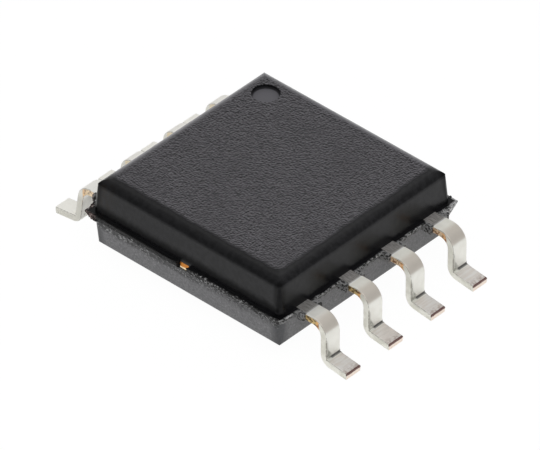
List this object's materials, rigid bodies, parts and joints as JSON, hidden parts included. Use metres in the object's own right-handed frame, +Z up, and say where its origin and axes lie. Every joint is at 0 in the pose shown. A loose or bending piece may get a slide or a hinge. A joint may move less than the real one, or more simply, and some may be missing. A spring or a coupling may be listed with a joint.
{
  "type": "flash memory chip",
  "caption": "Surface-mount flash memory chip: a low square moulded body with a pin 1 dimple and a row of gull-wing leads along each of two sides.",
  "frame": {"origin": "middle of the package on its seating plane, under the toes of the leads", "axes": "+Z up out of the top face; X across the two lead rows, with pins 5 to 8 at +X; Y along the rows, with pin 1 at -X and +Y"},
  "size_m": [0.008, 0.0054, 0.0019],
  "materials": {
    "mould_compound": "black-grey epoxy moulding compound: eroded matt top face, polished upper walls, satin lower half, rough broken flange",
    "tinned_lead": "satin matt tin plating over copper alloy, bare copper on the sheared flanks and at the cut toes",
    "copper_frame": "bare copper alloy strip",
    "die_adhesive": "silver-filled epoxy",
    "silicon_die": "polished silicon",
    "gold_wire": "bright drawn gold"
  },
  "bodies": {
    "root": {"moulded_body": "mould_compound", "lead_1": "tinned_lead", "lead_2": "tinned_lead", "lead_3": "tinned_lead", "lead_4": "tinned_lead", "lead_5": "tinned_lead", "lead_6": "tinned_lead", "lead_7": "tinned_lead", "lead_8": "tinned_lead", "die_paddle": "copper_frame", "die_attach": "die_adhesive", "memory_die": "silicon_die", "bond_wire_1": "gold_wire", "bond_wire_2": "gold_wire", "bond_wire_3": "gold_wire", "bond_wire_4": "gold_wire", "bond_wire_5": "gold_wire", "bond_wire_6": "gold_wire", "bond_wire_7": "gold_wire", "bond_wire_8": "gold_wire"}
  },
  "joints": []
}
